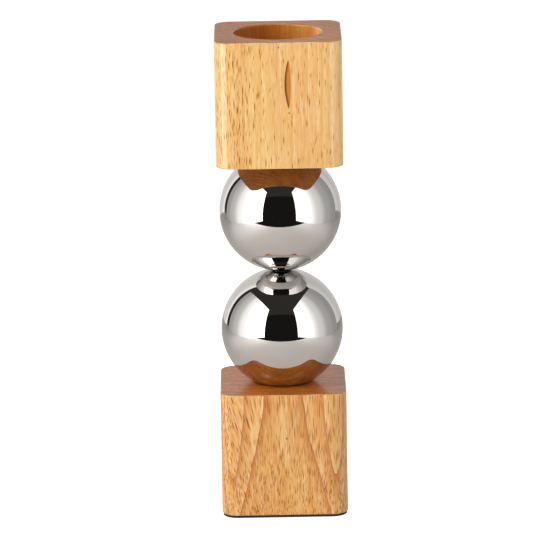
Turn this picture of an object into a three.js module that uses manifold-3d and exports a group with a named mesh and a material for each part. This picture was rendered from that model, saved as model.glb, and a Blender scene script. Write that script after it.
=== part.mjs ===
// A candle holder: a wooden base block, two polished hollow steel balls stacked on it,
// and a wooden top block with a round recess for a candle.
//
// Millimetres, +Z up. The origin is the centre of the underside of the anti-slip pad.
// The holder comes apart between the balls: the upper half unscrews from the centre stud.

import * as THREE from 'three';
import { mergeVertices } from 'three/addons/utils/BufferGeometryUtils.js';
import Module from 'manifold-3d';

const wasm = await Module();
wasm.setup();

// ---------------------------------------------------------------- driving dimensions

// Wooden blocks, square in plan with rounded upright edges
const BLOCK_WIDTH = 62;
const BLOCK_CORNER_RADIUS = 8;
const BLOCK_EDGE_EASE = 0.6;
const BASE_BLOCK_HEIGHT = 61;
const TOP_BLOCK_HEIGHT = 62;

// Anti-slip pad under the base block
const PAD_THICKNESS = 1.2;
const PAD_INSET = 0.5;

// Round candle recess in the top block
const RECESS_RADIUS = 21.5;
const RECESS_DEPTH = 20;
const RECESS_RIM_EASE = 0.6;

// Hollow balls, open at both poles, each pole closed by a threaded boss
const BALL_RADIUS = 30;
const BALL_WALL = 1;
const POLE_OPENING_RADIUS = 5;

// Round sockets in the blocks, in which the balls sit on the socket's rim
const BASE_BALL_SINK = 3.5;
const TOP_BALL_SINK = 3.2;
const SOCKET_FLOOR_CLEARANCE = 0.4;
const SOCKET_RIM_GAP = 0.35;

// Threaded bosses inside the balls
const BOSS_FACE_SINK = 0.5;
const BOSS_NECK_RADIUS = 4.7;
const BOSS_NECK_LENGTH = 1.7;
const BOSS_BODY_RADIUS = 7;
const BOSS_LENGTH = 11;

// M6 thread, drawn as plain cylinders
const THREAD_RADIUS = 3;
const THREADED_BORE_RADIUS = 3.08;
const CLEARANCE_BORE_RADIUS = 3.3;
const THREAD_END_CHAMFER = 0.6;

// M6 socket cap screws
const HEAD_RADIUS = 5;
const HEAD_HEIGHT = 6;
const HEAD_CHAMFER = 0.5;
const HEAD_KEY_WIDTH = 5;
const HEAD_KEY_DEPTH = 3;
const BASE_SCREW_LENGTH = 60;
const TOP_SCREW_LENGTH = 40;

// Counterbores that hide the screw heads
const COUNTERBORE_RADIUS = 10;
const COUNTERBORE_DEPTH = 10;

// Washers
const FLAT_WASHER_RADIUS = 9;
const FLAT_WASHER_BORE_RADIUS = 3.2;
const FLAT_WASHER_THICKNESS = 1.6;
const LOCK_WASHER_RADIUS = 5.9;
const LOCK_WASHER_BORE_RADIUS = 3.05;
const LOCK_WASHER_THICKNESS = 1.6;
const LOCK_WASHER_SPLIT = 1;
const CENTRE_WASHER_RADIUS = 4.5;
const CENTRE_WASHER_BORE_RADIUS = 3.2;
const CENTRE_WASHER_THICKNESS = 0.4;

// Centre stud between the balls
const STUD_LENGTH = 20;
const STUD_DEPTH_IN_LOWER_BOSS = 10.3;
const STUD_KEY_WIDTH = 3;
const STUD_KEY_DEPTH = 3.5;

// Gap left between faces that touch
const CONTACT_GAP = 0.1;

// Facets
const CORNER_STEPS = 7;
const BALL_SIDES = 32;
const BALL_OUTER_ROWS = 14;
const BALL_INNER_ROWS = 12;
const RECESS_SIDES = 48;
const HARDWARE_SIDES = 24;

// ---------------------------------------------------------------- heights along the axis

const baseTopZ = PAD_THICKNESS + BASE_BLOCK_HEIGHT;
const lowerBallZ = baseTopZ - BASE_BALL_SINK + BALL_RADIUS;
const bossFaceFromBallCentre = BALL_RADIUS - BOSS_FACE_SINK;
const lowerBossFaceZ = lowerBallZ + bossFaceFromBallCentre;
const centreWasherZ = lowerBossFaceZ + CONTACT_GAP / 2;
const upperBossFaceZ = centreWasherZ + CENTRE_WASHER_THICKNESS + CONTACT_GAP / 2;
const upperBallZ = upperBossFaceZ + bossFaceFromBallCentre;
const topBlockZ = upperBallZ + BALL_RADIUS - TOP_BALL_SINK;
const topZ = topBlockZ + TOP_BLOCK_HEIGHT;
const recessFloorZ = topZ - RECESS_DEPTH;

const baseCounterboreZ = PAD_THICKNESS + COUNTERBORE_DEPTH;
const topCounterboreZ = recessFloorZ - COUNTERBORE_DEPTH;
const washerStackHeight = FLAT_WASHER_THICKNESS + LOCK_WASHER_THICKNESS + 3 * CONTACT_GAP;

// ---------------------------------------------------------------- materials

function woodMaterial() {
	return new THREE.MeshStandardMaterial({ color: 0xe8bb80, roughness: 0.55, metalness: 0 });
}

function mirrorSteelMaterial() {
	return new THREE.MeshStandardMaterial({ color: 0xd9d8d6, roughness: 0.04, metalness: 1 });
}

function zincSteelMaterial() {
	return new THREE.MeshStandardMaterial({ color: 0xb4b6b8, roughness: 0.35, metalness: 1 });
}

function blackRubberMaterial() {
	return new THREE.MeshStandardMaterial({ color: 0x1a1918, roughness: 0.9, metalness: 0 });
}

function blackNylonMaterial() {
	return new THREE.MeshStandardMaterial({ color: 0x141414, roughness: 0.5, metalness: 0 });
}

// ---------------------------------------------------------------- solids

// A closed geometry as a manifold solid, ready to be joined or cut.
function toSolid(geometry) {
	const bare = geometry.index ? geometry.toNonIndexed() : geometry.clone();
	bare.deleteAttribute('normal');
	bare.deleteAttribute('uv');
	const merged = mergeVertices(bare, 1e-4);
	const kept = [];
	const index = merged.index.array;
	for (let i = 0; i < index.length; i += 3) {
		const [a, b, c] = [index[i], index[i + 1], index[i + 2]];
		if (a !== b && b !== c && c !== a) {
			kept.push(a, b, c);
		}
	}
	return new wasm.Manifold(new wasm.Mesh({
		numProp: 3,
		vertProperties: new Float32Array(merged.attributes.position.array),
		triVerts: new Uint32Array(kept),
	}));
}

function toGeometry(solid) {
	const mesh = solid.getMesh();
	const geometry = new THREE.BufferGeometry();
	geometry.setAttribute('position', new THREE.BufferAttribute(mesh.vertProperties, 3));
	geometry.setIndex(new THREE.BufferAttribute(mesh.triVerts, 1));
	geometry.computeVertexNormals();
	return geometry;
}

function cut(geometry, ...cutters) {
	const solid = cutters.reduce((body, cutter) => body.subtract(toSolid(cutter)), toSolid(geometry));
	return toGeometry(solid);
}

// Turns a profile of [radius, height] points about the Z axis.
function turned(profile, sides) {
	const points = profile.map(([radius, height]) => new THREE.Vector2(radius, height));
	return new THREE.LatheGeometry(points, sides).rotateX(Math.PI / 2);
}

// A ring: its profile goes up the outside, in across the top and down the bore.
function turnedRing(outerProfile, boreRadius, sides) {
	const bottom = outerProfile[0][1];
	const top = outerProfile[outerProfile.length - 1][1];
	return turned([[boreRadius, bottom], ...outerProfile, [boreRadius, top], [boreRadius, bottom]], sides);
}

// [radius, height] points along an arc round the origin, from one polar angle to another.
// The angle is measured from the downward axis.
function arcProfile(radius, fromAngle, toAngle, rows) {
	const points = [];
	for (let row = 0; row <= rows; row++) {
		const angle = THREE.MathUtils.lerp(fromAngle, toAngle, row / rows);
		points.push([radius * Math.sin(angle), -radius * Math.cos(angle)]);
	}
	return points;
}

function roundedSquare(width, cornerRadius) {
	const reach = width / 2;
	const straight = reach - cornerRadius;
	const shape = new THREE.Shape();
	shape.moveTo(-straight, -reach);
	shape.lineTo(straight, -reach);
	shape.absarc(straight, -straight, cornerRadius, -Math.PI / 2, 0, false);
	shape.absarc(straight, straight, cornerRadius, 0, Math.PI / 2, false);
	shape.absarc(-straight, straight, cornerRadius, Math.PI / 2, Math.PI, false);
	shape.absarc(-straight, -straight, cornerRadius, Math.PI, 1.5 * Math.PI, false);
	return shape;
}

// A square block with rounded upright edges and eased horizontal edges, standing on z = 0.
function roundedBlock(width, height, cornerRadius, ease) {
	const geometry = new THREE.ExtrudeGeometry(roundedSquare(width, cornerRadius), {
		depth: height - 2 * ease,
		curveSegments: CORNER_STEPS,
		bevelEnabled: true,
		bevelThickness: ease,
		bevelSize: ease,
		bevelOffset: -ease,
		bevelSegments: 2,
	});
	return geometry.translate(0, 0, ease);
}

// A hexagonal recess for a key, from z = -depth to just above z = 0.
function keyCutter(acrossFlats, depth) {
	const overshoot = 1;
	const cornerRadius = acrossFlats / Math.sqrt(3);
	const geometry = new THREE.CylinderGeometry(cornerRadius, cornerRadius, depth + overshoot, 6);
	return geometry.rotateX(Math.PI / 2).translate(0, 0, (overshoot - depth) / 2);
}

function place(name, geometry, material, height) {
	const mesh = new THREE.Mesh(geometry, material);
	mesh.name = name;
	mesh.position.z = height;
	return mesh;
}

// The same, turned upside down.
function placeInverted(name, geometry, material, height) {
	const mesh = place(name, geometry, material, height);
	mesh.rotation.x = Math.PI;
	return mesh;
}

// ---------------------------------------------------------------- sub-parts

// Half-width of a ball where it passes through a block's face, plus the gap to the socket's rim.
function socketRadius(sink) {
	const faceToCentre = BALL_RADIUS - sink;
	return Math.sqrt(BALL_RADIUS ** 2 - faceToCentre ** 2) + SOCKET_RIM_GAP;
}

function antiSlipPad() {
	const width = BLOCK_WIDTH - 2 * PAD_INSET;
	const outline = roundedSquare(width, BLOCK_CORNER_RADIUS - PAD_INSET);
	const geometry = new THREE.ExtrudeGeometry(outline, {
		depth: PAD_THICKNESS - CONTACT_GAP,
		curveSegments: CORNER_STEPS,
		bevelEnabled: false,
	});
	return place('anti_slip_pad', geometry, blackRubberMaterial(), 0);
}

// From below: the counterbore for the screw's head, the bore, and the ball's socket on top.
function baseBlock() {
	const overshoot = 1;
	const socket = socketRadius(BASE_BALL_SINK);
	const socketFloor = BASE_BLOCK_HEIGHT - BASE_BALL_SINK - SOCKET_FLOOR_CLEARANCE;
	const hollow = turned([
		[0, -overshoot],
		[COUNTERBORE_RADIUS, -overshoot],
		[COUNTERBORE_RADIUS, COUNTERBORE_DEPTH],
		[CLEARANCE_BORE_RADIUS, COUNTERBORE_DEPTH],
		[CLEARANCE_BORE_RADIUS, socketFloor],
		[socket, socketFloor],
		[socket, BASE_BLOCK_HEIGHT + overshoot],
		[0, BASE_BLOCK_HEIGHT + overshoot],
	], RECESS_SIDES);
	const block = roundedBlock(BLOCK_WIDTH, BASE_BLOCK_HEIGHT, BLOCK_CORNER_RADIUS, BLOCK_EDGE_EASE);
	return place('base_block', cut(block, hollow), woodMaterial(), PAD_THICKNESS);
}

// From below: the ball's socket, the bore, the counterbore, and the candle recess with its eased rim.
function topBlock() {
	const overshoot = 1;
	const socket = socketRadius(TOP_BALL_SINK);
	const socketFloor = TOP_BALL_SINK + SOCKET_FLOOR_CLEARANCE;
	const recessFloor = TOP_BLOCK_HEIGHT - RECESS_DEPTH;
	const counterboreFloor = recessFloor - COUNTERBORE_DEPTH;
	const rimRadius = RECESS_RADIUS + RECESS_RIM_EASE;
	const hollow = turned([
		[0, -overshoot],
		[socket, -overshoot],
		[socket, socketFloor],
		[CLEARANCE_BORE_RADIUS, socketFloor],
		[CLEARANCE_BORE_RADIUS, counterboreFloor],
		[COUNTERBORE_RADIUS, counterboreFloor],
		[COUNTERBORE_RADIUS, recessFloor],
		[RECESS_RADIUS, recessFloor],
		[RECESS_RADIUS, TOP_BLOCK_HEIGHT - RECESS_RIM_EASE],
		[rimRadius, TOP_BLOCK_HEIGHT],
		[rimRadius, TOP_BLOCK_HEIGHT + overshoot],
		[0, TOP_BLOCK_HEIGHT + overshoot],
	], RECESS_SIDES);
	const block = roundedBlock(BLOCK_WIDTH, TOP_BLOCK_HEIGHT, BLOCK_CORNER_RADIUS, BLOCK_EDGE_EASE);
	return place('top_block', cut(block, hollow), woodMaterial(), topBlockZ);
}

function ballShell(name, height) {
	const innerRadius = BALL_RADIUS - BALL_WALL;
	const outerPole = Math.asin(POLE_OPENING_RADIUS / BALL_RADIUS);
	const innerPole = Math.asin(POLE_OPENING_RADIUS / innerRadius);
	const outside = arcProfile(BALL_RADIUS, outerPole, Math.PI - outerPole, BALL_OUTER_ROWS);
	const inside = arcProfile(innerRadius, Math.PI - innerPole, innerPole, BALL_INNER_ROWS);
	const geometry = turned([...outside, ...inside, outside[0]], BALL_SIDES);
	return place(name, geometry, mirrorSteelMaterial(), height);
}

// The boss's outer face is at z = 0 and its body hangs below it.
function bossGeometry() {
	return turnedRing([
		[BOSS_BODY_RADIUS, -BOSS_LENGTH],
		[BOSS_BODY_RADIUS, -BOSS_NECK_LENGTH],
		[BOSS_NECK_RADIUS, -BOSS_NECK_LENGTH],
		[BOSS_NECK_RADIUS, 0],
	], THREADED_BORE_RADIUS, HARDWARE_SIDES);
}

function topBoss(name, ballZ) {
	return place(name, bossGeometry(), zincSteelMaterial(), ballZ + bossFaceFromBallCentre);
}

function bottomBoss(name, ballZ) {
	return placeInverted(name, bossGeometry(), zincSteelMaterial(), ballZ - bossFaceFromBallCentre);
}

// Head up, with the underside of the head at z = 0.
function screwGeometry(length) {
	const body = turned([
		[0, -length],
		[THREAD_RADIUS - THREAD_END_CHAMFER, -length],
		[THREAD_RADIUS, -length + THREAD_END_CHAMFER],
		[THREAD_RADIUS, 0],
		[HEAD_RADIUS, 0],
		[HEAD_RADIUS, HEAD_HEIGHT - HEAD_CHAMFER],
		[HEAD_RADIUS - HEAD_CHAMFER, HEAD_HEIGHT],
		[0, HEAD_HEIGHT],
	], HARDWARE_SIDES);
	return cut(body, keyCutter(HEAD_KEY_WIDTH, HEAD_KEY_DEPTH).translate(0, 0, HEAD_HEIGHT));
}

function baseScrew() {
	const headUndersideZ = baseCounterboreZ - washerStackHeight;
	return placeInverted('base_screw', screwGeometry(BASE_SCREW_LENGTH), zincSteelMaterial(), headUndersideZ);
}

function topScrew() {
	const headUndersideZ = topCounterboreZ + washerStackHeight;
	return place('top_screw', screwGeometry(TOP_SCREW_LENGTH), zincSteelMaterial(), headUndersideZ);
}

function washerGeometry(radius, boreRadius, thickness) {
	return turnedRing([[radius, 0], [radius, thickness]], boreRadius, HARDWARE_SIDES);
}

function flatWasher(name, height) {
	const geometry = washerGeometry(FLAT_WASHER_RADIUS, FLAT_WASHER_BORE_RADIUS, FLAT_WASHER_THICKNESS);
	return place(name, geometry, zincSteelMaterial(), height);
}

// A split ring, its split on the +X side.
function lockWasher(name, height) {
	const ring = washerGeometry(LOCK_WASHER_RADIUS, LOCK_WASHER_BORE_RADIUS, LOCK_WASHER_THICKNESS);
	const split = new THREE.BoxGeometry(2 * LOCK_WASHER_RADIUS, LOCK_WASHER_SPLIT, 3 * LOCK_WASHER_THICKNESS);
	split.translate(LOCK_WASHER_RADIUS, 0, 0);
	return place(name, cut(ring, split), zincSteelMaterial(), height);
}

function baseWashers() {
	const flatZ = baseCounterboreZ - CONTACT_GAP - FLAT_WASHER_THICKNESS;
	const lockZ = flatZ - CONTACT_GAP - LOCK_WASHER_THICKNESS;
	return [flatWasher('base_flat_washer', flatZ), lockWasher('base_lock_washer', lockZ)];
}

function topWashers() {
	const flatZ = topCounterboreZ + CONTACT_GAP;
	const lockZ = flatZ + FLAT_WASHER_THICKNESS + CONTACT_GAP;
	return [flatWasher('top_flat_washer', flatZ), lockWasher('top_lock_washer', lockZ)];
}

function centreStud() {
	const body = turned([
		[0, 0],
		[THREAD_RADIUS - THREAD_END_CHAMFER, 0],
		[THREAD_RADIUS, THREAD_END_CHAMFER],
		[THREAD_RADIUS, STUD_LENGTH - THREAD_END_CHAMFER],
		[THREAD_RADIUS - THREAD_END_CHAMFER, STUD_LENGTH],
		[0, STUD_LENGTH],
	], HARDWARE_SIDES);
	const geometry = cut(body, keyCutter(STUD_KEY_WIDTH, STUD_KEY_DEPTH).translate(0, 0, STUD_LENGTH));
	return place('centre_stud', geometry, zincSteelMaterial(), lowerBossFaceZ - STUD_DEPTH_IN_LOWER_BOSS);
}

function centreWasher() {
	const geometry = washerGeometry(CENTRE_WASHER_RADIUS, CENTRE_WASHER_BORE_RADIUS, CENTRE_WASHER_THICKNESS);
	return place('centre_washer', geometry, blackNylonMaterial(), centreWasherZ);
}

// ---------------------------------------------------------------- assembly

function lowerHalf() {
	const group = new THREE.Group();
	group.add(
		antiSlipPad(),
		baseBlock(),
		baseScrew(),
		...baseWashers(),
		ballShell('lower_ball_shell', lowerBallZ),
		bottomBoss('lower_ball_bottom_boss', lowerBallZ),
		topBoss('lower_ball_top_boss', lowerBallZ),
		centreStud(),
	);
	return group;
}

function upperHalf() {
	const group = new THREE.Group();
	group.add(
		ballShell('upper_ball_shell', upperBallZ),
		bottomBoss('upper_ball_bottom_boss', upperBallZ),
		topBoss('upper_ball_top_boss', upperBallZ),
		topBlock(),
		...topWashers(),
		topScrew(),
	);
	return group;
}

const candleHolder = new THREE.Group();
candleHolder.add(lowerHalf(), centreWasher(), upperHalf());

export default candleHolder;
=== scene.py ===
"""A candle holder: two rubberwood blocks with two mirror-polished steel balls stacked between them.

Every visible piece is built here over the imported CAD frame. Shapes and wood patterns are worked
out in millimetres, and turn into metres where a mesh is made.
"""

import math

import bmesh
import bpy
from mathutils import Matrix, Vector


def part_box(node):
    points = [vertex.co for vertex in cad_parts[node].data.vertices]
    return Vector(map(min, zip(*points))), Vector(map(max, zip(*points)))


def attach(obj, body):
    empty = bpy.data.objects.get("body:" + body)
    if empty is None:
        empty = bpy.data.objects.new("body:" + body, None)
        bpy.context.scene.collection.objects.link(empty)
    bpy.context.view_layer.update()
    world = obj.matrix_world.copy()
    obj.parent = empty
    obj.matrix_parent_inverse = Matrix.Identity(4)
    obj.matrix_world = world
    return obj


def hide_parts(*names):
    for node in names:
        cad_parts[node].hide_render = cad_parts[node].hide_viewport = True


MM = 0.001

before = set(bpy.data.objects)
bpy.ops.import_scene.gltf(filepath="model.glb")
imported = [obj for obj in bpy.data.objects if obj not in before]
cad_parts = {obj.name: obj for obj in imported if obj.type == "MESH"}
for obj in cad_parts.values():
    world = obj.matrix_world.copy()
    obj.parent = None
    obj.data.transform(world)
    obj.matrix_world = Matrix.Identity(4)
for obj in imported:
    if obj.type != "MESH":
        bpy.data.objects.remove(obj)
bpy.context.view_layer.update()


# ---------------------------------------------------------------- driving dimensions, in millimetres

# Wooden blocks, and the openings in them
CORNER_RADIUS = 8
EDGE_EASE = 0.6
RIM_EASE = 0.6
SOCKET_EASE = 0.3
BORE_EASE = 0.15
RECESS_RADIUS = 21.5
RECESS_DEPTH = 20
COUNTERBORE_RADIUS = 10
COUNTERBORE_DEPTH = 10
CLEARANCE_BORE_RADIUS = 3.3
SOCKET_RIM_GAP = 0.35
SOCKET_FLOOR_CLEARANCE = 0.4
OPENING_BORDER = 2
PAD_EASE = 0.35

# Balls
BALL_WALL = 1
POLE_OPENING_RADIUS = 5

# Threaded bosses in the balls' poles
BOSS_NECK_RADIUS = 4.7
BOSS_NECK_LENGTH = 1.7
BOSS_BORE_RADIUS = 3.08
BOSS_CHAMFER = 0.35

# M6 threads. THREAD_CREST is the share of the pitch that is flat, at the crest and again at the root,
# THREAD_END the chamfer's length at the tip, and THREAD_GAP the step between a plain shank and its thread.
THREAD_RADIUS = 3
THREAD_PITCH = 1
THREAD_DEPTH = 0.55
THREAD_CREST = 0.15
THREAD_LENGTH = 24
THREAD_END = 0.7
THREAD_GAP = 0.1

# Socket cap screws. HEAD_FOOT is the chamfer under the head, KNURL_END the height above the seat where the
# knurl ends, and SHANK_END the taper at the end of the plain shank.
HEAD_HEIGHT = 6
HEAD_CHAMFER = 0.5
HEAD_FACE_INSET = 0.7
HEAD_FOOT = 0.4
KNURL_COUNT = 24
KNURL_DEPTH = 0.16
KNURL_INSET = 0.15
KNURL_END = 0.6
SHANK_FILLET = 0.2
SHANK_END = 0.4

# Hexagonal key sockets. KEY_DRILL_RADIUS is a share of the width across the flats.
HEAD_KEY_WIDTH = 5
HEAD_KEY_DEPTH = 3
STUD_KEY_WIDTH = 3
STUD_KEY_DEPTH = 3.5
KEY_DRILL_DEPTH = 0.9
KEY_DRILL_RADIUS = 0.46
KEY_CHAMFER = 0.3

# Washers
WASHER_BORE_RADIUS = 3.2
WASHER_EASE = 0.2
THIN_WASHER_EASE = 0.1
LOCK_WASHER_BORE_RADIUS = 3.05
LOCK_WASHER_SPLIT = 1

# Fineness of the meshes
ARC_STEPS = 5
FLAT_STEPS = 24
CORNER_STEPS = 24
BALL_SIDES = 160
BALL_ROWS = 96
HARDWARE_SIDES = 96
RINGS_PER_PITCH = 8
LOCK_WASHER_STEPS = 72
SHARP_ANGLE = math.radians(38)


# ---------------------------------------------------------------- profiles and rings

def span(node):
    """A CAD node's half-width, lowest and highest point, in millimetres."""
    low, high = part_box(node)
    return -low.x / MM, low.z / MM, high.z / MM


BLOCK_REACH = span("base_block")[0]
STRAIGHT = BLOCK_REACH - CORNER_RADIUS
BALL_REACH = span("lower_ball_shell")[0]


def filleted(corners):
    """Profile points from (radius, height, fillet) corners. Each arc lies between two support points."""
    points = []
    for index, (radius, height, fillet) in enumerate(corners):
        here = Vector((radius, height))
        if fillet == 0:
            points.append(here)
            continue
        before = Vector(corners[index - 1][:2]) - here
        after = Vector(corners[(index + 1) % len(corners)][:2]) - here
        half = before.angle(after) / 2
        reach = fillet / math.tan(half)
        middle = here + (before.normalized() + after.normalized()).normalized() * fillet / math.sin(half)
        start = here + before.normalized() * reach
        end = here + after.normalized() * reach
        first = math.atan2(*reversed(start - middle))
        turn = math.remainder(math.atan2(*reversed(end - middle)) - first, math.tau)
        points.append(here + before.normalized() * min(reach + fillet / 2, before.length / 2))
        for step in range(ARC_STEPS + 1):
            angle = first + turn * step / ARC_STEPS
            points.append(middle + fillet * Vector((math.cos(angle), math.sin(angle))))
        points.append(here + after.normalized() * min(reach + fillet / 2, after.length / 2))
    return points


def outline(reach):
    """Points (x, y) of the blocks' rounded square, counter-clockwise. reach is half its width."""
    corner = reach - STRAIGHT
    side = [(reach, (2 * step / FLAT_STEPS - 1) * STRAIGHT) for step in range(FLAT_STEPS)]
    for step in range(CORNER_STEPS):
        angle = math.pi / 2 * step / CORNER_STEPS
        side.append((STRAIGHT + corner * math.cos(angle), STRAIGHT + corner * math.sin(angle)))
    points = []
    for quarter in range(4):
        turn = Matrix.Rotation(quarter * math.pi / 2, 2)
        points += [turn @ Vector(point) for point in side]
    return points


def square_ring(reach, height):
    """Points of a block's rounded square at a height."""
    return [(x, y, height) for x, y in outline(reach)]


BLOCK_ANGLES = [math.atan2(y, x) for x, y in outline(BLOCK_REACH)]
HARDWARE_ANGLES = [math.tau * step / HARDWARE_SIDES for step in range(HARDWARE_SIDES)]


def ring(radius_at, height, angles):
    """Points round the axis, at a radius that depends on the angle."""
    return [(radius_at(a) * math.cos(a), radius_at(a) * math.sin(a), height) for a in angles]


def round_rings(profile, angles):
    """A turned profile's rings."""
    return [ring(lambda angle: radius, height, angles) for radius, height in profile]


def hexagon(across_flats):
    """Radius of a hexagon at each angle, with flats across X."""
    sector = math.pi / 3
    return lambda angle: across_flats / 2 / math.cos((angle + sector / 2) % sector - sector / 2)


def knurl(radius):
    """Radius of a knurled head at each angle."""
    return lambda angle: radius - KNURL_DEPTH * (1 + math.cos(KNURL_COUNT * angle)) / 2


def thread(height, limit):
    """Radius of a right-handed thread at each angle, kept under a limit where the thread runs out."""
    def radius_at(angle):
        turn = (height / THREAD_PITCH - angle / math.tau) % 1
        flank = (abs(2 * turn - 1) - THREAD_CREST) / (1 - 2 * THREAD_CREST)
        return min(limit, THREAD_RADIUS - THREAD_DEPTH * (1 - min(max(flank, 0), 1)))
    return radius_at


# ---------------------------------------------------------------- meshes

def loft(name, rings, joined=False):
    """An object skinned over rings, where a ring of one point closes an end.
    joined ties the last ring to the first."""
    solid = bmesh.new()
    loops = [[solid.verts.new(Vector(point) * MM) for point in points] for points in rings]
    pairs = list(zip(loops, loops[1:]))
    if joined:
        pairs.append((loops[-1], loops[0]))
    for lower, upper in pairs:
        count = max(len(lower), len(upper))
        for here in range(count):
            there = (here + 1) % count
            corners = [lower[here % len(lower)], lower[there % len(lower)]]
            corners += [upper[there % len(upper)], upper[here % len(upper)]]
            solid.faces.new(list(dict.fromkeys(corners)))
    bmesh.ops.recalc_face_normals(solid, faces=solid.faces)
    mesh = bpy.data.meshes.new(name)
    solid.to_mesh(mesh)
    solid.free()
    mesh.shade_smooth()
    mesh.set_sharp_from_angle(angle=SHARP_ANGLE)
    piece = bpy.data.objects.new(name, mesh)
    bpy.context.scene.collection.objects.link(piece)
    return piece


def dress(piece, material, body, node):
    """Gives a piece its material and its place in the frame."""
    piece.data.materials.append(material)
    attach(piece, body)
    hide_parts(node)


# ---------------------------------------------------------------- node graphs

def linear(red, green, blue):
    """A colour in linear light, from 8-bit display values."""
    def channel(value):
        value /= 255
        return value / 12.92 if value <= 0.04045 else ((value + 0.055) / 1.055) ** 2.4
    return channel(red), channel(green), channel(blue), 1


class Graph:
    """A material's node tree, with short calls for the nodes used here."""

    def __init__(self, name):
        self.material = bpy.data.materials.new(name)
        self.material.use_nodes = True
        self.tree = self.material.node_tree
        self.tree.nodes.clear()

    def put(self, socket, value):
        """Links another node's output to a socket, or sets the socket's value."""
        if isinstance(value, bpy.types.NodeSocket):
            self.tree.links.new(value, socket)
        else:
            socket.default_value = value

    def add(self, kind, settings=(), **inputs):
        """A node with its settings, and its inputs by name, where _ stands for a space."""
        node = self.tree.nodes.new("ShaderNode" + kind)
        for name, value in dict(settings).items():
            setattr(node, name, value)
        for name, value in inputs.items():
            self.put(node.inputs[name.replace("_", " ")], value)
        return node

    def calculate(self, kind, operation, values):
        node = self.add(kind, {"operation": operation})
        for socket, value in zip(node.inputs, values):
            self.put(socket, value)
        return node.outputs[0]

    def math(self, operation, *values):
        return self.calculate("Math", operation, values)

    def vector(self, operation, *values):
        return self.calculate("VectorMath", operation, values)

    def length(self, x, y, z):
        """The length of the vector with these parts."""
        return self.add("VectorMath", {"operation": "LENGTH"}, Vector=self.join(x, y, z)).outputs["Value"]

    def ramp(self, value, start, end, low=0.0, high=1.0):
        """Goes smoothly from low at start to high at end, and stays there outside."""
        node = self.add("MapRange", {"interpolation_type": "SMOOTHSTEP"}, Value=value)
        for name, level in (("From Min", start), ("From Max", end), ("To Min", low), ("To Max", high)):
            self.put(node.inputs[name], level)
        return node.outputs[0]

    def blend(self, factor, first, second, mode="MIX"):
        """A colour between first, at factor 0, and second, at factor 1."""
        node = self.add("Mix", {"data_type": "RGBA", "blend_type": mode, "clamp_factor": True})
        for socket, value in ((0, factor), (6, first), (7, second)):
            self.put(node.inputs[socket], value)
        return node.outputs[2]

    def tint(self, colour, shade):
        """A colour made lighter or darker by a factor."""
        grey = self.add("CombineColor", Red=shade, Green=shade, Blue=shade).outputs[0]
        return self.blend(1.0, colour, grey, "MULTIPLY")

    def split(self, vector):
        node = self.add("SeparateXYZ", Vector=vector)
        return node.outputs[0], node.outputs[1], node.outputs[2]

    def join(self, x, y, z):
        return self.add("CombineXYZ", X=x, Y=y, Z=z).outputs[0]

    def place(self):
        """The point's own place on the piece, in millimetres."""
        return self.vector("MULTIPLY", self.add("TexCoord").outputs["Object"], (1 / MM, 1 / MM, 1 / MM))

    def noise(self, place, size, detail=2.0, roughness=0.5, offset=(0, 0, 0)):
        """Soft noise round 0.5, whose lumps are size millimetres along each axis."""
        stretched = self.vector("DIVIDE", self.vector("ADD", place, offset), size)
        node = self.add("TexNoise", Vector=stretched, Scale=1.0, Detail=detail, Roughness=roughness)
        return node.outputs[0]

    def cells(self, place, size, offset=(0, 0, 0)):
        """Random cells, size millimetres along each axis: the distance to a cell's middle, and its number."""
        stretched = self.vector("DIVIDE", self.vector("ADD", place, offset), size)
        node = self.add("TexVoronoi", Vector=stretched, Scale=1.0)
        return node.outputs["Distance"], self.split(node.outputs["Color"])[0]

    def bump(self, height, depth):
        """A normal from a height of 0 to 1 that stands for depth millimetres."""
        return self.add("Bump", Height=height, Distance=depth * MM, Strength=1.0).outputs[0]

    def finish(self, shader):
        """The material, with this shader as its surface."""
        output = self.add("OutputMaterial")
        self.tree.links.new(shader.outputs[0], output.inputs["Surface"])
        return self.material


# ---------------------------------------------------------------- wood

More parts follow.
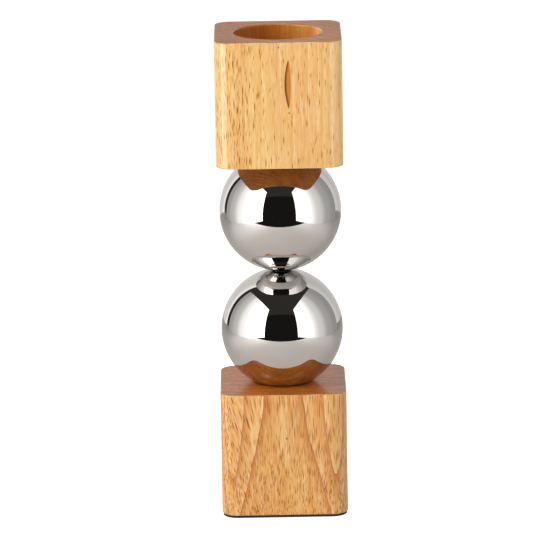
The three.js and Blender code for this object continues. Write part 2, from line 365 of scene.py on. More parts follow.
# How each block was cut from its plank, in millimetres. The fibres run along Z.
#   top             height of the block's top, and recessed says if the candle recess is in it
#   pith            where the middle of the trunk lay, (x, y), at the block's top
#   pith_tilt       how far the pith leans back for each millimetre down
#   pith_bend       how it curves forwards, with the square of the depth
#   first_ring      distance from the pith of one clear yearly ring, and ring_spacing to the next
#   ring_depth      strength of a ring's dark edge, and ring_start of the pale wood after it
#   faint_rings     rings below the first number are faint, and above the second are clear
#   vessel_width    width of a vessel's cell
#   vessel_length   length of a vessel's cell at Z 0, and how fast it grows with Z
#   vessel_lean     how far the fibres lean in the left part of the front
#   crowding        vessels are sparse right of the first x, and dense left of the second
#   missing         share of the vessels left out where they are sparse, and where they are dense
#   offset          shift of the random patterns, so that the blocks differ
#   painted_right_shade  painted shade on the right side: it darkens from the first x to the second, by the
#   factor
#   specks          small dark specks in the front: x, depth below the top, radius
#   end_coat        how much of the lacquer stays on end grain
#   end_streaks     angle of the streaks on end grain, in radians
# Its colours:
#   tan, peach      broad streaks, and pale for the fine ones and for the start of each ring
#   ring            a ring's dark edge
#   vessel, halo    vessels and specks, and the stain round the vessels
#   deep_tint       what the finest streaks multiply the colour by, and end_tint what end grain does
TOP_WOOD = {
    "top": span("top_block")[2],
    "recessed": True,
    "pith": (-150, 120),
    "pith_tilt": 0.012,
    "pith_bend": 0.0,
    "first_ring": 96,
    "ring_spacing": 5.3,
    "ring_depth": 0.4,
    "ring_start": 0.15,
    "faint_rings": (-9, -8),
    "vessel_width": 0.62,
    "vessel_length": (6.0, 0.0),
    "vessel_lean": 0.0,
    "crowding": (-8, -24),
    "missing": (0.55, 0.05),
    "offset": (31, 7, 0),
    "painted_right_shade": (27, 32, 0.84),
    "specks": ((0.2, 2.3, 0.45), (4.9, 34.5, 0.4)),
    "end_coat": 0.25,
    "end_streaks": 0.6,
    "tan": linear(246, 203, 134),
    "peach": linear(241, 188, 124),
    "pale": linear(251, 221, 165),
    "ring": linear(226, 158, 84),
    "vessel": linear(152, 94, 14),
    "halo": linear(228, 156, 66),
    "deep_tint": (0.86, 0.78, 0.60, 1),
    "end_tint": (0.74, 0.39, 0.11, 1),
}
BASE_WOOD = {
    "top": span("base_block")[2],
    "recessed": False,
    "pith": (0, 62),
    "pith_tilt": -0.004,
    "pith_bend": 0.00055,
    "first_ring": 93.47,
    "ring_spacing": 1.5,
    "ring_depth": 0.95,
    "ring_start": 0.38,
    "faint_rings": (-0.9, -0.1),
    "vessel_width": 0.48,
    "vessel_length": (2.7, 0.045),
    "vessel_lean": 0.2,
    "crowding": (60, 90),
    "missing": (0.06, 0.06),
    "offset": (-17, 43, 90),
    "painted_right_shade": (20, 32, 0.76),
    "specks": ((1.2, 22, 0.5),),
    "end_coat": 0.5,
    "end_streaks": 0.0,
    "tan": linear(249, 202, 126),
    "peach": linear(244, 184, 110),
    "pale": linear(254, 224, 172),
    "ring": linear(186, 94, 32),
    "vessel": linear(148, 76, 10),
    "halo": linear(218, 138, 46),
    "deep_tint": (0.80, 0.65, 0.38, 1),
    "end_tint": (0.74, 0.41, 0.14, 1),
}

# Vessels of two sizes: their cells against the look's own, their strength, and their random shift.
# Then the largest vessel's size in its cell, the part of it that is full dark, and the stain round it.
COARSE_VESSELS = (1.15, 1.0, (3.3, 1.7, 0.2))
FINE_VESSELS = (0.85, 0.7, (8.1, 4.9, 5.6))
VESSEL_FILL = 0.36
VESSEL_CORE = 0.55
HALO_REACH = 1.8
HALO_STRENGTH = 0.6

# Streaks, as the size of their lumps along each axis
BROAD_STREAKS = (7, 7, 110)
FINE_STREAKS = (1.5, 1.5, 38)
HAIR_STREAKS = (0.42, 0.42, 7)
END_STREAKS = (17, 1.9, 60)
GRAIN_BUMP = 0.015

# How far the yearly rings stray from true circles
RING_WANDER = 0.7
RING_WANDER_SIZE = (22, 22, 60)

# The fibres' lean fades from the first x to the second, and from the first y to the second, to this share
LEAN_ACROSS = (-BLOCK_REACH, -5)
LEAN_INWARDS = (-27, -14)
LEAN_BEHIND = 0.15

# How deep the marks of the front face go, and a speck's width as a share of its height
FRONT_DEPTH = 4
SPECK_SLIMNESS = 0.6

# End grain begins between these two upward or downward turns of the surface
END_GRAIN_FACING = (0.8, 0.98)
# Painted shade on end grain that faces down, as a factor
UNDERSIDE_PAINTED_SHADE = 0.78

# The drilled recess: its painted shade and light fade out this far past its wall, and this share of its
# vessels shows
RECESS_EDGE = (0.15, 0.5)
RECESS_VESSELS = 0.15

# Painted shade and light in the recess, as its colour against side grain: darker and redder on its left as
# painted shade, lighter on its right as painted light, and brighter at its right end as a painted highlight;
# and the x between which it goes from the first to the second and from the second to the third
RECESS_PAINTED_SHADE_TINT = (0.51, 0.235, 0.05, 1)
RECESS_PAINTED_LIGHT_TINT = (1.07, 0.70, 0.32, 1)
RECESS_PAINTED_HIGHLIGHT_TINT = (1.45, 1.3, 1.2, 1)
RECESS_PALING = (-12, 0.9 * RECESS_RADIUS)
RECESS_END = (0.76 * RECESS_RADIUS, 0.98 * RECESS_RADIUS)

# A gum pocket in the top block's front face: its middle, half-size and bow to the left, and its amber core
FLECK_X = 4.3
FLECK_BELOW_TOP = 20.4
FLECK_HALF_WIDTH = 1.4
FLECK_HALF_HEIGHT = 12
FLECK_BOW = 0.5
FLECK_CORE_SHIFT = 0.5
FLECK_CORE_HALF_WIDTH = 1.1
FLECK_DARK = linear(122, 68, 20)
FLECK_AMBER = linear(206, 132, 54)


def leaning(g, place, look):
    """The place, sheared so that the fibres lean in the left part of the front face."""
    x, y, z = g.split(place)
    across = g.ramp(x, *LEAN_ACROSS, 1.0, 0.0)
    lean = g.math("MULTIPLY", across, g.ramp(y, *LEAN_INWARDS, 1.0, LEAN_BEHIND))
    return g.join(g.math("MULTIPLY_ADD", z, g.math("MULTIPLY", lean, look["vessel_lean"]), x), y, z)


def ring_turns(g, place, look):
    """How many yearly rings out from the first clear one: its whole part numbers the ring."""
    x, y, z = g.split(place)
    across = g.math("SUBTRACT", x, look["pith"][0])
    below = g.math("SUBTRACT", z, look["top"])
    bend = g.math("MULTIPLY", g.math("MULTIPLY", below, below), look["pith_bend"])
    lean = g.math("MULTIPLY_ADD", below, look["pith_tilt"], bend)
    deep = g.math("SUBTRACT", g.math("ADD", y, lean), look["pith"][1])
    radius = g.length(across, deep, 0.0)
    wander = g.noise(place, RING_WANDER_SIZE, 2.0, 0.5, look["offset"])
    warped = g.math("MULTIPLY_ADD", g.math("SUBTRACT", wander, 0.5), RING_WANDER, radius)
    return g.math("DIVIDE", g.math("SUBTRACT", warped, look["first_ring"]), look["ring_spacing"])


def ring_lines(g, place, look):
    """1 on each ring's dark outer edge, which fades inwards, and 1 on its pale start, which fades outwards.
    The oldest rings are faint."""
    turns = ring_turns(g, place, look)
    part = g.math("FRACT", turns)
    band = g.math("MULTIPLY", g.math("POWER", part, 2.5), 0.5)
    edge = g.math("MULTIPLY_ADD", g.math("POWER", part, 11.0), 0.5, band)
    start = g.math("POWER", g.math("SUBTRACT", 1.0, part), 3.0)
    clear = g.ramp(turns, *look["faint_rings"], 0.1, 1.0)
    return g.math("MULTIPLY", edge, clear), g.math("MULTIPLY", start, clear)


def vessels(g, place, look, scale, strength, offset):
    """Long thin pores along the fibres, and the stain round them: strength inside and 0 outside.
    scale is the size of their cells against the look's own."""
    x, y, z = g.split(place)
    low, growth = look["vessel_length"]
    width = look["vessel_width"] * scale
    along = g.math("DIVIDE", z, g.math("MULTIPLY_ADD", z, growth * scale, low * scale))
    cell_place = g.join(g.math("DIVIDE", x, width), g.math("DIVIDE", y, width), along)
    distance, number = g.cells(cell_place, (1, 1, 1), offset)
    missing = g.ramp(x, *look["crowding"], *look["missing"])
    size = g.math("MULTIPLY", g.ramp(number, missing, g.math("ADD", missing, 0.5)), VESSEL_FILL)
    pore = g.ramp(distance, g.math("MULTIPLY", size, VESSEL_CORE), size, strength, 0.0)
    stain = g.ramp(distance, size, g.math("MULTIPLY", size, HALO_REACH), strength, 0.0)
    return pore, stain


def side_grain(g, place, fibres, look):
    """The colour of the streaks and yearly rings, with painted shade on the right side, and the fine streaks
    by themselves.
    """
    broad = g.noise(fibres, BROAD_STREAKS, 2.0, 0.5, look["offset"])
    streak = g.noise(fibres, FINE_STREAKS, 3.0, 0.65, look["offset"])
    hair = g.noise(fibres, HAIR_STREAKS, 2.0, 0.7, look["offset"])
    colour = g.blend(g.ramp(broad, 0.38, 0.62), look["tan"], look["peach"])
    colour = g.blend(g.ramp(streak, 0.45, 0.7, 0.0, 0.9), colour, look["pale"])
    deep = g.blend(1.0, colour, look["deep_tint"], "MULTIPLY")
    colour = g.blend(g.ramp(hair, 0.3, 0.7), deep, colour)

    # Painted shade: the right side darkens from the first x to the second, down to the factor
    start, end, darkest = look["painted_right_shade"]
    colour = g.tint(colour, g.ramp(g.split(place)[0], start, end, 1.0, darkest))
    edge, ring_start = ring_lines(g, place, look)
    colour = g.blend(g.math("MULTIPLY", ring_start, look["ring_start"]), colour, look["pale"])
    return g.blend(g.math("MULTIPLY", edge, look["ring_depth"]), colour, look["ring"]), streak


def front_part(g, place):
    """1 near the front face, 0 elsewhere."""
    return g.math("LESS_THAN", g.split(place)[1], -BLOCK_REACH + FRONT_DEPTH)


def fleck(g, place, top, shift, half_width):
    """Depth inside a lens of the gum pocket, 1 at its middle and 0 on its edge. It's only in the front face.
    shift moves the lens to the right."""
    x, _, z = g.split(place)
    rise = g.math("DIVIDE", g.math("SUBTRACT", z, top - FLECK_BELOW_TOP), FLECK_HALF_HEIGHT)
    bulge = g.math("SUBTRACT", 1.0, g.math("MULTIPLY", rise, rise))
    middle = g.math("MULTIPLY_ADD", bulge, -FLECK_BOW, FLECK_X + FLECK_BOW + shift)
    across = g.math("DIVIDE", g.math("ABSOLUTE", g.math("SUBTRACT", x, middle)), half_width)
    depth = g.math("ADD", g.math("SUBTRACT", bulge, across), 1.0)
    return g.math("SUBTRACT", g.math("MULTIPLY", depth, front_part(g, place)), 1.0)


def specks(g, place, look):
    """1 on the small dark specks in the front face, 0 elsewhere."""
    x, _, z = g.split(place)
    dark = 0.0
    for speck_x, below_top, radius in look["specks"]:
        across = g.math("SUBTRACT", x, speck_x)
        rise = g.math("MULTIPLY", g.math("SUBTRACT", z, look["top"] - below_top), SPECK_SLIMNESS)
        distance = g.length(across, rise, 0.0)
        dark = g.math("MAXIMUM", dark, g.ramp(distance, 0.4 * radius, radius, 1.0, 0.0))
    return g.math("MULTIPLY", dark, front_part(g, place))


def end_grain(g, place, look, facing, colour):
    """The colour of end grain, with broad streaks, and painted shade on the underside."""
    turned = g.add("VectorRotate", {"rotation_type": "Z_AXIS"}, Vector=place, Angle=look["end_streaks"])
    streak = g.noise(turned.outputs[0], END_STREAKS, 3.0, 0.6, look["offset"])
    # Painted shade: end grain that faces down is darkened
    underside = g.ramp(facing, -0.9, -0.5, UNDERSIDE_PAINTED_SHADE)
    shade = g.math("MULTIPLY", g.ramp(streak, 0.3, 0.7, 0.72, 1.2), underside)
    return g.tint(g.blend(1.0, colour, look["end_tint"], "MULTIPLY"), shade)


def recess_part(g, place, top):
    """1 on the drilled candle recess, 0 elsewhere."""
    x, y, z = g.split(place)
    near, far = RECESS_EDGE
    within = g.ramp(g.length(x, y, 0.0), RECESS_RADIUS + near, RECESS_RADIUS + far, 1.0, 0.0)
    return g.math("MULTIPLY", within, g.math("GREATER_THAN", z, top - RECESS_DEPTH - 1))


def recess_painted_shade_and_light(g, place, colour):
    """The drilled recess's colour from side grain's: painted shade on its left, painted light on its right.
    """
    x = g.split(place)[0]
    tint = g.blend(g.ramp(x, *RECESS_PALING), RECESS_PAINTED_SHADE_TINT, RECESS_PAINTED_LIGHT_TINT)
    tint = g.blend(g.ramp(x, *RECESS_END), tint, RECESS_PAINTED_HIGHLIGHT_TINT)
    return g.blend(1.0, colour, tint, "MULTIPLY")


def gum_pocket(g, place, top, colour):
    """The colour with the gum pocket in it, a dark lens with an amber core nearer its right edge."""
    depth = fleck(g, place, top, 0.0, FLECK_HALF_WIDTH)
    core = fleck(g, place, top, FLECK_CORE_SHIFT, FLECK_CORE_HALF_WIDTH)
    colour = g.blend(g.ramp(depth, -0.15, 0.1), colour, FLECK_DARK)
    return g.blend(g.ramp(core, -0.25, 0.45), colour, FLECK_AMBER)


def wood(name, look):
    """Lacquered rubberwood: streaks, yearly rings, short dark vessels and darker end grain."""
    g = Graph(name)
    place = g.place()
    fibres = leaning(g, place, look)
    facing = g.split(g.add("TexCoord").outputs["Normal"])[2]
    cut = g.ramp(g.math("ABSOLUTE", facing), *END_GRAIN_FACING)
    drilled = g.math("MULTIPLY", recess_part(g, place, look["top"]), g.math("SUBTRACT", 1.0, cut))
    plain = g.math("MULTIPLY_ADD", drilled, RECESS_VESSELS - 1, 1.0)

    colour, streak = side_grain(g, place, fibres, look)
    coarse, coarse_stain = vessels(g, fibres, look, *COARSE_VESSELS)
    fine, fine_stain = vessels(g, fibres, look, *FINE_VESSELS)
    pore = g.math("MAXIMUM", coarse, fine)
    stain = g.math("MULTIPLY", g.math("MAXIMUM", coarse_stain, fine_stain), HALO_STRENGTH)
    colour = g.blend(g.math("MULTIPLY", stain, plain), colour, look["halo"])
    colour = g.blend(g.math("MULTIPLY", pore, plain), colour, look["vessel"])
    colour = g.blend(specks(g, place, look), colour, look["vessel"])
    colour = g.blend(cut, colour, end_grain(g, place, look, facing, colour))
    if look["recessed"]:
        # Painted shade and light in the drilled recess
        colour = g.blend(drilled, colour, recess_painted_shade_and_light(g, place, colour))
        colour = gum_pocket(g, place, look["top"], colour)

    height = g.math("SUBTRACT", g.math("MULTIPLY", streak, 0.4), pore)
    shader = g.add(
        "BsdfPrincipled",
        Base_Color=colour,
        Roughness=g.ramp(streak, 0.3, 0.7, 0.42, 0.52),
        Normal=g.bump(height, GRAIN_BUMP),
        Specular_IOR_Level=0.15,
        Coat_Weight=g.ramp(cut, 0.0, 1.0, 1.0, look["end_coat"]),
        Coat_Roughness=0.17,
    )
    return g.finish(shader)


# ---------------------------------------------------------------- other materials

def mirror_steel():
    """Polished stainless steel with the faintest haze of polishing marks."""
    g = Graph("mirror_steel")
    place = g.place()
    haze = g.noise(place, (6, 6, 6), 4.0, 0.6)
    shader = g.add(
        "BsdfPrincipled",
        Base_Color=g.blend(haze, (0.61, 0.59, 0.57, 1), (0.64, 0.62, 0.60, 1)),
        Metallic=1.0,
        Roughness=g.ramp(haze, 0.3, 0.7, 0.015, 0.035),
        Normal=g.bump(g.noise(place, (9, 9, 9), 1.0), 0.006),
    )
    return g.finish(shader)


def zinc_steel():
    """Zinc-plated steel with fine marks of turning round the axis."""
    g = Graph("zinc_steel")
    place = g.place()
    x, y, z = g.split(place)
    marks = g.noise(g.join(g.length(x, y, 0.0), 0.0, z), (0.12, 1, 0.12), 2.0, 0.6)
    bloom = g.noise(place, (2.5, 2.5, 2.5), 3.0, 0.6)
    shader = g.add(
        "BsdfPrincipled",
        Base_Color=g.blend(bloom, (0.44, 0.45, 0.48, 1), (0.62, 0.62, 0.60, 1)),
        Metallic=1.0,
        Roughness=g.ramp(bloom, 0.3, 0.7, 0.24, 0.42),
        Normal=g.bump(marks, 0.01),
    )
    return g.finish(shader)


def black_nylon():
    """Moulded black nylon, faintly speckled."""
    g = Graph("black_nylon")
    speckle = g.noise(g.place(), (0.3, 0.3, 0.3), 3.0, 0.6)
    shader = g.add(
        "BsdfPrincipled",
        Base_Color=g.blend(speckle, (0.006, 0.006, 0.006, 1), (0.018, 0.018, 0.018, 1)),
        Roughness=g.ramp(speckle, 0.3, 0.7, 0.4, 0.6),
        Normal=g.bump(speckle, 0.01),
    )
    return g.finish(shader)


def pad_rubber():
    """Black cellular rubber, with its small closed cells showing."""
    g = Graph("pad_rubber")
    place = g.place()
    distance, number = g.cells(place, (0.55, 0.55, 0.55))
    cell = g.ramp(distance, 0.15, 0.5)
    grime = g.noise(place, (7, 7, 7), 4.0, 0.6)
    colour = g.blend(grime, (0.007, 0.007, 0.007, 1), (0.022, 0.021, 0.02, 1))
    shader = g.add(
        "BsdfPrincipled",
        Base_Color=g.blend(g.math("MULTIPLY", number, 0.25), colour, (0.03, 0.03, 0.03, 1)),
        Roughness=g.ramp(grime, 0.3, 0.7, 0.8, 0.95),
        Normal=g.bump(cell, 0.12),
    )
    return g.finish(shader)


# ---------------------------------------------------------------- pieces

def ball_middle(node):
    """Height of a ball's middle."""
    low, high = span(node)[1:]
    return (low + high) / 2


def socket_radius(node, face_height):
    """Radius of the hole in a block's face where a ball sinks through it, with the gap round the ball."""
    rise = face_height - ball_middle(node)
    return math.sqrt(BALL_REACH ** 2 - rise ** 2) + SOCKET_RIM_GAP


def wooden_block(name, outside, inside):
    """A block from its outer profile, a rounded square in plan, and the turned profile of what is cut out."""
    rings = [square_ring(reach, height) for reach, height in filleted(outside)]
    rings += round_rings(filleted(inside), BLOCK_ANGLES)
    return loft(name, rings, joined=True)


def block_outside(low, high, ease):
    """From a ring on the underside, up the sides, to a ring on the top."""
    inner = STRAIGHT + CORNER_RADIUS / 2
    return [
        (inner, low, 0),
        (BLOCK_REACH, low, ease),
        (BLOCK_REACH, high, ease),
        (inner, high, 0),
    ]


def base_block():
    """The base, with the ball's socket in its top and the screw's counterbore in its underside."""
    low, high = span("base_block")[1:]
    ball_low = ball_middle("lower_ball_shell") - BALL_REACH
    socket = socket_radius("lower_ball_shell", high)
    floor = ball_low - SOCKET_FLOOR_CLEARANCE
    inside = [
        (socket + OPENING_BORDER, high, 0),
        (socket, high, SOCKET_EASE),
        (socket, floor, BORE_EASE),
        (CLEARANCE_BORE_RADIUS, floor, BORE_EASE),
        (CLEARANCE_BORE_RADIUS, low + COUNTERBORE_DEPTH, BORE_EASE),
        (COUNTERBORE_RADIUS, low + COUNTERBORE_DEPTH, BORE_EASE),
        (COUNTERBORE_RADIUS, low, SOCKET_EASE),
        (COUNTERBORE_RADIUS + OPENING_BORDER, low, 0),
    ]
    return wooden_block("base_wood", block_outside(low, high, EDGE_EASE), inside)


def top_block():
    """The top block, with the candle recess and the screw's counterbore above the ball's socket."""
    low, high = span("top_block")[1:]
    ball_high = ball_middle("upper_ball_shell") + BALL_REACH
    socket = socket_radius("upper_ball_shell", low)
    roof = ball_high + SOCKET_FLOOR_CLEARANCE
    floor = high - RECESS_DEPTH
    inside = [
        (RECESS_RADIUS + OPENING_BORDER, high, 0),
        (RECESS_RADIUS, high, RIM_EASE),
        (RECESS_RADIUS, floor, BORE_EASE),
        (COUNTERBORE_RADIUS, floor, SOCKET_EASE),
        (COUNTERBORE_RADIUS, floor - COUNTERBORE_DEPTH, BORE_EASE),
        (CLEARANCE_BORE_RADIUS, floor - COUNTERBORE_DEPTH, BORE_EASE),
        (CLEARANCE_BORE_RADIUS, roof, BORE_EASE),
        (socket, roof, BORE_EASE),
        (socket, low, SOCKET_EASE),
        (socket + OPENING_BORDER, low, 0),
    ]
    return wooden_block("top_wood", block_outside(low, high, EDGE_EASE), inside)


def pad():
    """A thin pad whose cut edge is rounded over."""
    reach, low, high = span("anti_slip_pad")
    corners = [(0, low, 0), (reach, low, PAD_EASE), (reach, high, PAD_EASE), (0, high, 0)]
    profile = filleted(corners)[1:-1]
    rings = [[(0, 0, low)]] + [square_ring(r, h) for r, h in profile] + [[(0, 0, high)]]
    return loft("foam_pad", rings)


def ball_profile(radius, middle, rows):
    """Profile points of a ball's surface, from its lower opening to its upper one."""
    pole = math.asin(POLE_OPENING_RADIUS / radius)
    angles = [pole + (math.pi - 2 * pole) * row / rows for row in range(rows + 1)]
    return [(radius * math.sin(angle), middle - radius * math.cos(angle)) for angle in angles]


def ball(name, node):
    """A hollow ball, open at both poles."""
    outer = ball_profile(BALL_REACH, ball_middle(node), BALL_ROWS)
    inner = ball_profile(BALL_REACH - BALL_WALL, ball_middle(node), BALL_ROWS // 2)
    angles = [math.tau * step / BALL_SIDES for step in range(BALL_SIDES)]
    return loft(name, round_rings(outer + inner[::-1], angles), joined=True)


def boss(name, node, face_up):
    """A threaded boss, its neck in the ball's pole and its body inside the ball."""
    reach, low, high = span(node)
    face, back, into = (high, low, -1) if face_up else (low, high, 1)
    shoulder = face + into * BOSS_NECK_LENGTH
    profile = filleted([
        (BOSS_BORE_RADIUS, face, BOSS_CHAMFER),
        (BOSS_NECK_RADIUS, face, BOSS_CHAMFER / 2),
        (BOSS_NECK_RADIUS, shoulder, BOSS_CHAMFER / 2),
        (reach, shoulder, BOSS_CHAMFER),
        (reach, back, BOSS_CHAMFER),
        (BOSS_BORE_RADIUS, back, BOSS_CHAMFER),
    ])
    return loft(name, round_rings(profile, HARDWARE_ANGLES), joined=True)


def hex_socket(mouth, key_width, depth, into):
    """Rings of a hexagonal socket from its drilled bottom to its chamfered mouth."""
    bottom = mouth + into * depth
    corner = key_width / math.sqrt(3)
    return [
        [(0, 0, bottom + into * KEY_DRILL_DEPTH)],
        ring(lambda angle: key_width * KEY_DRILL_RADIUS, bottom, HARDWARE_ANGLES),
        ring(hexagon(key_width), bottom, HARDWARE_ANGLES),
        ring(hexagon(key_width), mouth + into * KEY_CHAMFER, HARDWARE_ANGLES),
        ring(lambda angle: corner + KEY_CHAMFER / 2, mouth, HARDWARE_ANGLES),
    ]


def thread_rings(start, end):
    """Rings of a thread between two heights, which runs out into a chamfer at the end."""
    count = round(abs(end - start) / THREAD_PITCH * RINGS_PER_PITCH)
    rings = []
    for step in range(count + 1):
        height = start + (end - start) * step / count
        limit = THREAD_RADIUS - max(0, THREAD_END - abs(end - height))
        rings.append(ring(thread(height, limit), height, HARDWARE_ANGLES))
    return rings + [[(0, 0, end)]]


def cap_screw(name, node, head_up):
    """A socket cap screw with a knurled head, a plain shank and a thread."""
    reach, low, high = span(node)
    head, tip, into = (high, low, -1) if head_up else (low, high, 1)
    seat = head + into * HEAD_HEIGHT
    thread_start = tip - into * THREAD_LENGTH
    face = [
        (reach - HEAD_FACE_INSET, head),
        (reach - KNURL_INSET, head + into * HEAD_CHAMFER),
    ]
    shank = [
        (reach - KNURL_INSET, seat - into * HEAD_FOOT),
        (reach - HEAD_FOOT, seat),
        (THREAD_RADIUS + SHANK_FILLET, seat),
        (THREAD_RADIUS, seat + into * SHANK_FILLET),
        (THREAD_RADIUS, thread_start - into * SHANK_END),
        (THREAD_RADIUS - SHANK_FILLET, thread_start),
    ]
    rings = hex_socket(head, HEAD_KEY_WIDTH, HEAD_KEY_DEPTH, into)
    rings += round_rings(face, HARDWARE_ANGLES)
    for depth in (HEAD_CHAMFER + KNURL_INSET, HEAD_HEIGHT - KNURL_END):
        rings.append(ring(knurl(reach), head + into * depth, HARDWARE_ANGLES))
    rings += round_rings(shank, HARDWARE_ANGLES)
    rings += thread_rings(thread_start + into * THREAD_GAP, tip)
    return loft(name, rings)


def stud():
    """The threaded stud between the balls, with a key socket in its upper end."""
    low, high = span("centre_stud")[1:]
    rings = hex_socket(high, STUD_KEY_WIDTH, STUD_KEY_DEPTH, -1)
    rings += thread_rings(high, low)
    return loft("threaded_stud", rings)


def washer_section(node, bore, ease):
    """Profile points of a washer's eased section."""
    reach, low, high = span(node)
    return filleted([(bore, low, ease), (reach, low, ease), (reach, high, ease), (bore, high, ease)])


def washer(name, node, ease):
    """A flat washer with eased edges."""
    section = washer_section(node, WASHER_BORE_RADIUS, ease)
    return loft(name, round_rings(section, HARDWARE_ANGLES), joined=True)


def swept(section, angle):
    """A section's points, swept round the axis to an angle."""
    return [(radius * math.cos(angle), radius * math.sin(angle), height) for radius, height in section]


def lock_washer(name, node):
    """A spring washer, an eased square section swept round the axis and cut through on the +X side."""
    reach, low, high = span(node)
    section = washer_section(node, LOCK_WASHER_BORE_RADIUS, WASHER_EASE)
    middle = [((LOCK_WASHER_BORE_RADIUS + reach) / 2, (low + high) / 2)]
    gap = math.asin(LOCK_WASHER_SPLIT / 2 / LOCK_WASHER_BORE_RADIUS)
    rings = [swept(middle, gap)]
    for step in range(LOCK_WASHER_STEPS + 1):
        rings.append(swept(section, gap + (math.tau - 2 * gap) * step / LOCK_WASHER_STEPS))
    return loft(name, rings + [swept(middle, -gap)])


def build_pieces():
    """All the pieces, each on its body, in place of its CAD node."""
    steel, zinc, nylon = mirror_steel(), zinc_steel(), black_nylon()
    lower, upper, middle = "lower_half", "upper_half", "centre_washer"

    dress(pad(), pad_rubber(), lower, "anti_slip_pad")
    dress(base_block(), wood("base_rubberwood", BASE_WOOD), lower, "base_block")
    dress(top_block(), wood("top_rubberwood", TOP_WOOD), upper, "top_block")
    thin_washer = washer("black_washer", "centre_washer", THIN_WASHER_EASE)
    dress(thin_washer, nylon, middle, "centre_washer")
    dress(stud(), zinc, lower, "centre_stud")

    for half, body in (("lower", lower), ("upper", upper)):
        shell = half + "_ball_shell"
        dress(ball("polished_" + half + "_ball", shell), steel, body, shell)
        for end in ("bottom", "top"):
            node = half + "_ball_" + end + "_boss"
            dress(boss(node + "_turned", node, end == "top"), zinc, body, node)

    for place, body in (("base", lower), ("top", upper)):
        screw, flat, lock = (place + kind for kind in ("_screw", "_flat_washer", "_lock_washer"))
        dress(cap_screw(screw + "_threaded", screw, place == "top"), zinc, body, screw)
        dress(washer(flat + "_eased", flat, WASHER_EASE), zinc, body, flat)
        dress(lock_washer(lock + "_sprung", lock), zinc, body, lock)


# ---------------------------------------------------------------- camera and studio, in metres

CAMERA_PLACE = Vector((-0.00725, -2.304, 0.6465))
CAMERA_PITCH = math.radians(-12.878)
CAMERA_ROLL = math.radians(0.965)
CAMERA_LENS = 324.2

FLOOR_HEIGHT = -0.0004
FLOOR_REACH = 3
FLOOR_ENDS = (-4, 4)
TABLE_FRONT = -0.41

# The floor's own pale light beside the holder: the x it starts and ends at, and its strength, on the left
# and on the right. It fades out from the first y to the second.
FLOOR_GLOW_LEFT = (-0.28, -0.1, 0.25)
FLOOR_GLOW_RIGHT = (0.1, 0.3, 0.19)
FLOOR_GLOW_END = (0.0, 0.2)

# Upright panels: x, front, back, height at the front, height at the back
LEFT_PANEL = (-0.5, -0.76, 0.28, 0.98, 0.62)
RIGHT_PANEL = (0.425, -0.775, 0.287, 0.96, 0.63)
EDGE_STRIP = (-0.495, -0.30, -0.22, 0.81, 0.78)

# The other panels, by their spans
BACKDROP_X = (-0.728, 0.89)
BACKDROP_Y = 0.6
BACKDROP_Z = (0, 1.2)
TOP_PANEL_X = (-0.25, 0.25)
TOP_PANEL_Y = (-0.2, 0.3)
TOP_PANEL_Z = 1.6
ROOM_REACH = 3.2
ROOM_Z = (-0.8, 2.6)

# Strength of each panel's light. Where it varies: the places it changes between, and the strength at each
LEFT_LIGHT = ((-0.7, 4.4), (-0.3, 3.6), (-0.1, 1.5), (0.08, 0.75), (0.22, 0.5))
RIGHT_LIGHT = ((-0.7, 2.1), (-0.33, 1.9), (-0.1, 0.95), (0.04, 0.55), (0.2, 0.42))
BACKDROP_LIGHT = ((-0.7, 1.3), (-0.42, 0.85), (0.45, 0.70), (0.7, 0.86))
EDGE_LIGHT = 9
TOP_LIGHT = 14
DIM_ROOM_LIGHT = 0.04
BLACK_ROOM_LIGHT = 0.012


def place_camera():
    """A long lens in front of the holder and above it, looking down at it and rolled slightly."""
    data = bpy.data.cameras.new("camera")
    data.lens = CAMERA_LENS
    data.sensor_width = 36
    data.clip_end = 20
    holder = bpy.data.objects.new("camera", data)
    tilt = Matrix.Rotation(math.pi / 2 + CAMERA_PITCH, 4, "X")
    holder.matrix_world = Matrix.Translation(CAMERA_PLACE) @ tilt @ Matrix.Rotation(-CAMERA_ROLL, 4, "Z")
    bpy.context.scene.collection.objects.link(holder)
    bpy.context.scene.camera = holder


def sheet(name, corners, material, camera=False, diffuse=True, glossy=True, shadow=True):
    """A flat stage panel, seen only by the kinds of rays that are named."""
    mesh = bpy.data.meshes.new(name)
    mesh.from_pydata(corners, [], [tuple(range(len(corners)))])
    mesh.materials.append(material)
    panel = bpy.data.objects.new(name, mesh)
    bpy.context.scene.collection.objects.link(panel)
    panel.visible_camera = camera
    panel.visible_diffuse = diffuse
    panel.visible_glossy = glossy
    panel.visible_shadow = shadow


def reflected(name, corners, material):
    """A stage panel that only reflections see."""
    sheet(name, corners, material, diffuse=False, shadow=False)


def glow(name, colour, strength):
    """Light of one strength all over."""
    g = Graph(name)
    return g.finish(g.add("Emission", Color=(*colour, 1), Strength=strength))


def fading_glow(name, colour, stops, axis):
    """Light that changes along X (axis 0) or Y (axis 1), through (place, strength) stops."""
    g = Graph(name)
    strength = stops[0][1]
    along = g.split(g.add("TexCoord").outputs["Object"])[axis]
    for (start, before), (end, after) in zip(stops, stops[1:]):
        strength = g.math("ADD", strength, g.ramp(along, start, end, 0.0, after - before))
    return g.finish(g.add("Emission", Color=(*colour, 1), Strength=strength))


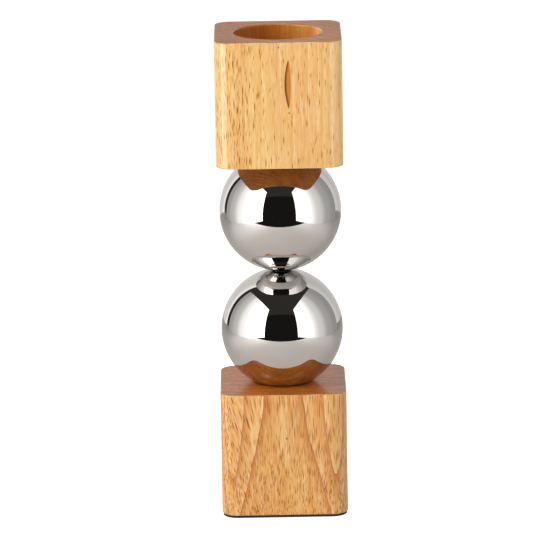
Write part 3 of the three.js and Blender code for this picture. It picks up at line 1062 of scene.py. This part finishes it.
def floor_white():
    """A white table top, paler beside the light panels. The camera sees it filled to plain white."""
    g = Graph("floor_white")
    matt = g.add("BsdfDiffuse", Color=(0.92, 0.88, 0.84, 1))
    x, y, _ = g.split(g.add("TexCoord").outputs["Object"])
    brightest, faintest, strength = FLOOR_GLOW_LEFT
    left = g.ramp(x, brightest, faintest, strength, 0.0)
    faintest, brightest, strength = FLOOR_GLOW_RIGHT
    right = g.ramp(x, faintest, brightest, 0.0, strength)
    pale = g.math("MULTIPLY", g.math("ADD", left, right), g.ramp(y, *FLOOR_GLOW_END, 1.0, 0.0))
    filled = g.math("MAXIMUM", pale, g.add("LightPath").outputs["Is Camera Ray"])
    both = g.add("AddShader")
    g.tree.links.new(matt.outputs[0], both.inputs[0])
    g.tree.links.new(g.add("Emission", Color=(1, 1, 1, 1), Strength=filled).outputs[0], both.inputs[1])
    return g.finish(both)


def level(x, y, z):
    """Corners of a level rectangle, from its spans along X and Y."""
    return [(x[0], y[0], z), (x[1], y[0], z), (x[1], y[1], z), (x[0], y[1], z)]


def upright_across(x, y, z):
    """Corners of an upright rectangle across the view, from its spans along X and Z."""
    return [(x[0], y, z[0]), (x[1], y, z[0]), (x[1], y, z[1]), (x[0], y, z[1])]


def upright_along(x, front, back, front_height, back_height, foot=0):
    """Corners of an upright panel at x, along the view, whose top edge slopes from front to back."""
    return [(x, front, foot), (x, back, foot), (x, back, back_height), (x, front, front_height)]


def studio():
    """A white table between two tall light panels, before a pale backdrop. A narrow strip by the left panel
    and a small panel above are seen in reflections only."""
    white = floor_white()
    floor_x = (-FLOOR_REACH, FLOOR_REACH)
    nearest, furthest = FLOOR_ENDS
    sheet("table", level(floor_x, (TABLE_FRONT, furthest), FLOOR_HEIGHT), white, camera=True)
    beyond = level(floor_x, (nearest, TABLE_FRONT), FLOOR_HEIGHT)
    sheet("floor_beyond", beyond, white, camera=True, glossy=False)

    left = fading_glow("left_light", (1, 1, 1), LEFT_LIGHT, 1)
    sheet("left_panel", upright_along(*LEFT_PANEL), left)
    right = fading_glow("right_light", (1, 1, 1), RIGHT_LIGHT, 1)
    sheet("right_panel", upright_along(*RIGHT_PANEL), right)
    behind = fading_glow("backdrop_light", (1, 0.99, 0.98), BACKDROP_LIGHT, 0)
    sheet("backdrop", upright_across(BACKDROP_X, BACKDROP_Y, BACKDROP_Z), behind)
    strip = glow("edge_light", (1, 0.97, 0.93), EDGE_LIGHT)
    reflected("edge_strip", upright_along(*EDGE_STRIP), strip)
    above = glow("top_light", (1, 0.98, 0.95), TOP_LIGHT)
    reflected("top_panel", level(TOP_PANEL_X, TOP_PANEL_Y, TOP_PANEL_Z), above)


def dark_room():
    """Dim walls, floor and ceiling that only reflections see."""
    dim = glow("dim_room", (1, 0.93, 0.85), DIM_ROOM_LIGHT)
    black = glow("black_room", (1, 0.95, 0.9), BLACK_ROOM_LIGHT)
    across = (-ROOM_REACH, ROOM_REACH)
    bottom, top = ROOM_Z
    reflected("ceiling", level(across, across, top), dim)
    reflected("room_floor", level(across, across, bottom), black)
    for name, x in (("left_wall", -ROOM_REACH), ("right_wall", ROOM_REACH)):
        reflected(name, upright_along(x, *across, top, top, bottom), dim)
    for name, y, material in (("front_wall", -ROOM_REACH, black), ("rear_wall", ROOM_REACH, dim)):
        reflected(name, upright_across(across, y, ROOM_Z), material)


def surroundings():
    """A white world that only the camera sees, with colours shown as they are."""
    world = bpy.data.worlds.new("white_surround")
    world.use_nodes = True
    world.node_tree.nodes["Background"].inputs["Color"].default_value = (1, 1, 1, 1)
    for kind in ("diffuse", "glossy", "transmission", "scatter"):
        setattr(world.cycles_visibility, kind, False)
    bpy.context.scene.world = world
    bpy.context.scene.view_settings.view_transform = "Standard"


place_camera()
studio()
dark_room()
surroundings()
build_pieces()
